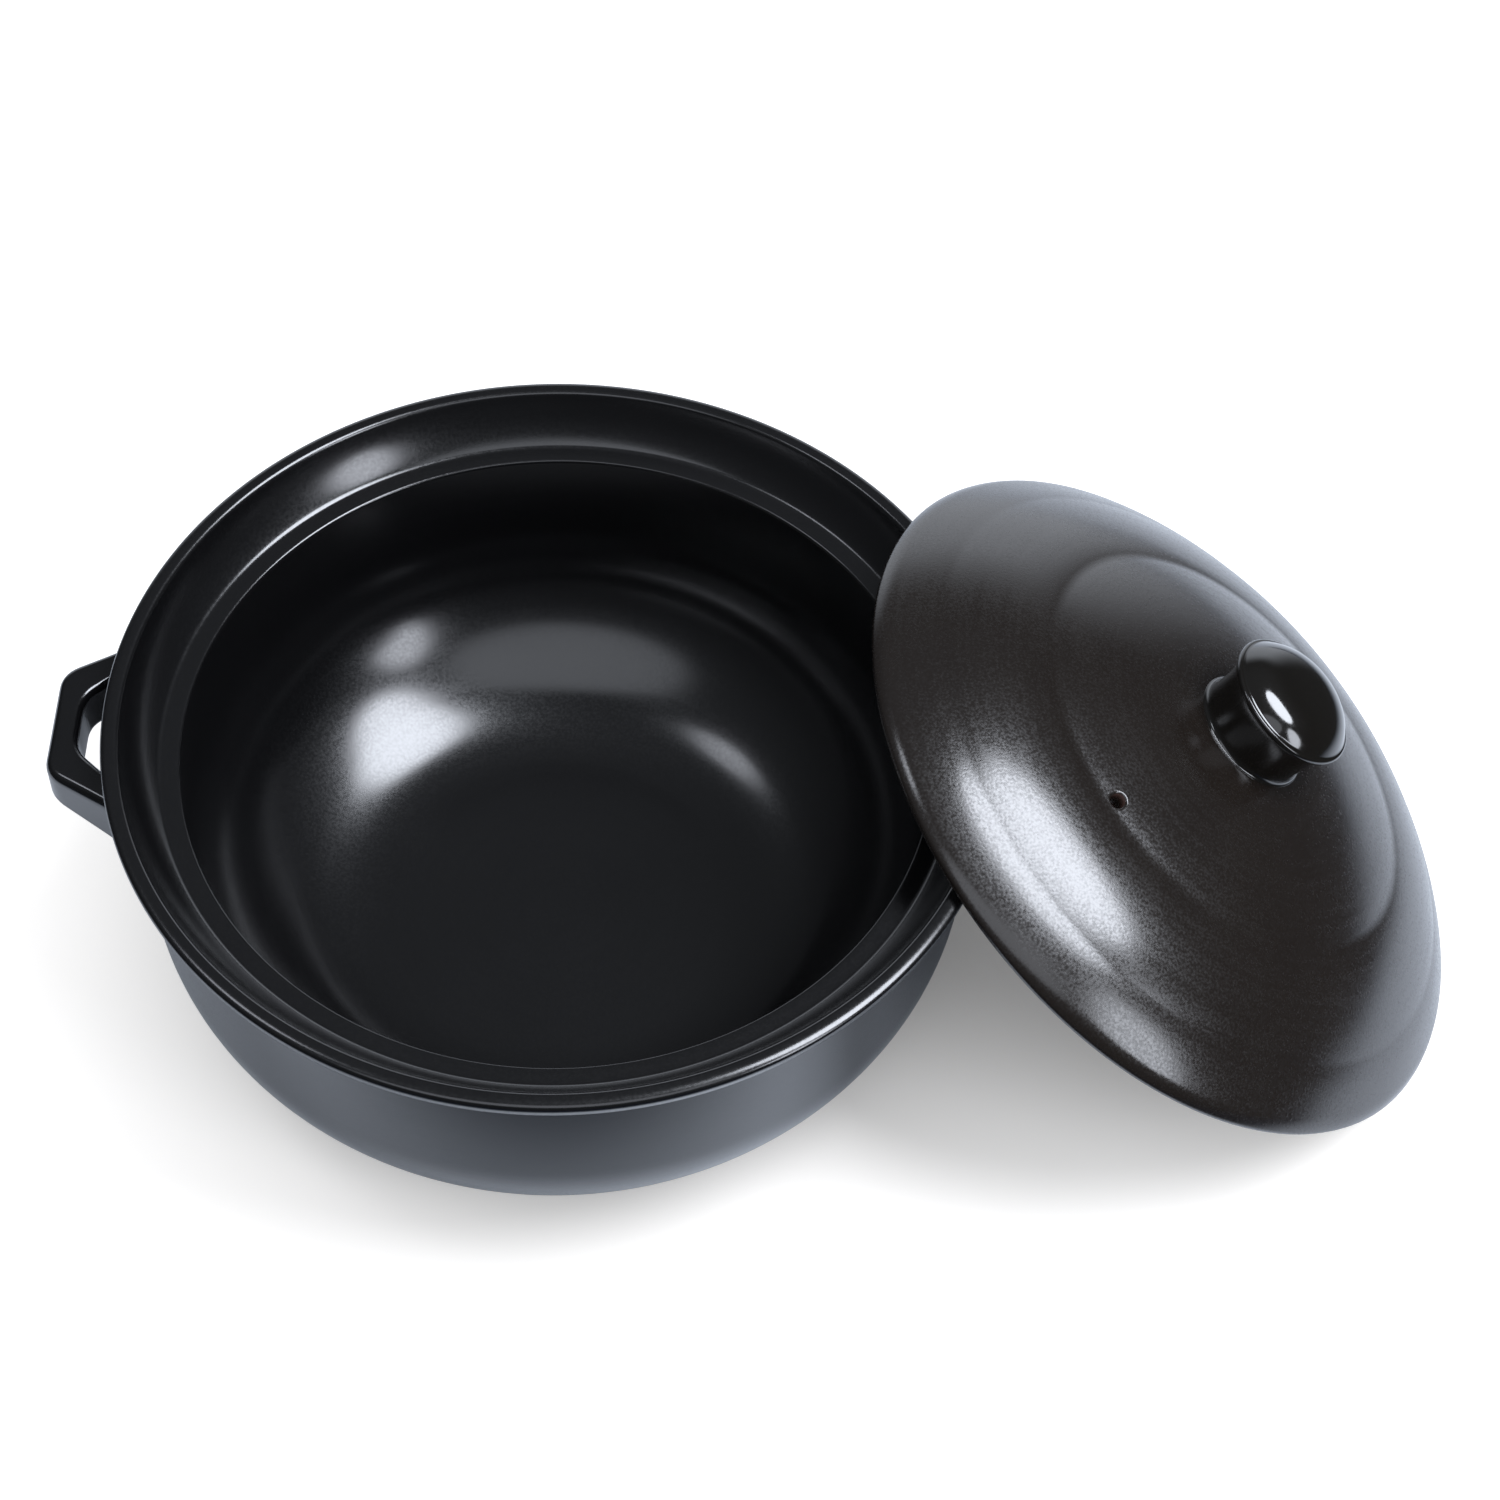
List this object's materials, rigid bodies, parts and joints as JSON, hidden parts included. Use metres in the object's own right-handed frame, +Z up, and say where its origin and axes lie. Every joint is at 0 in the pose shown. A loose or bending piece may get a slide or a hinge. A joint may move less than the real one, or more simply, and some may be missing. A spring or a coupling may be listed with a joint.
{
  "type": "clay pot",
  "caption": "Wide round black-glazed clay casserole with loop handles and a stepped dome lid with a knob and steam vent; the lid is off and leans on the rim.",
  "frame": {"origin": "centre of the flat base that the pot stands on", "axes": "+Z up along the pot's axis, +X along the handles towards the one that the lid leans over"},
  "size_m": [0.4359, 0.266, 0.1317],
  "materials": {
    "pot_glaze": "satin black glaze",
    "handle_glaze": "gloss black glaze",
    "lid_glaze": "satin warm black glaze",
    "knob_glaze": "gloss black glaze"
  },
  "bodies": {
    "pot": {"pot_body": "pot_glaze", "handle_left": "handle_glaze", "handle_right": "handle_glaze"},
    "lid": {"lid_shell": "lid_glaze", "lid_knob": "knob_glaze"}
  },
  "joints": [
    {"name": "lid_lift", "type": "slide", "parent": "pot", "child": "lid", "axis": [0.5505, 0.0308, 0.8343], "range_m": [0, 0.2]}
  ]
}
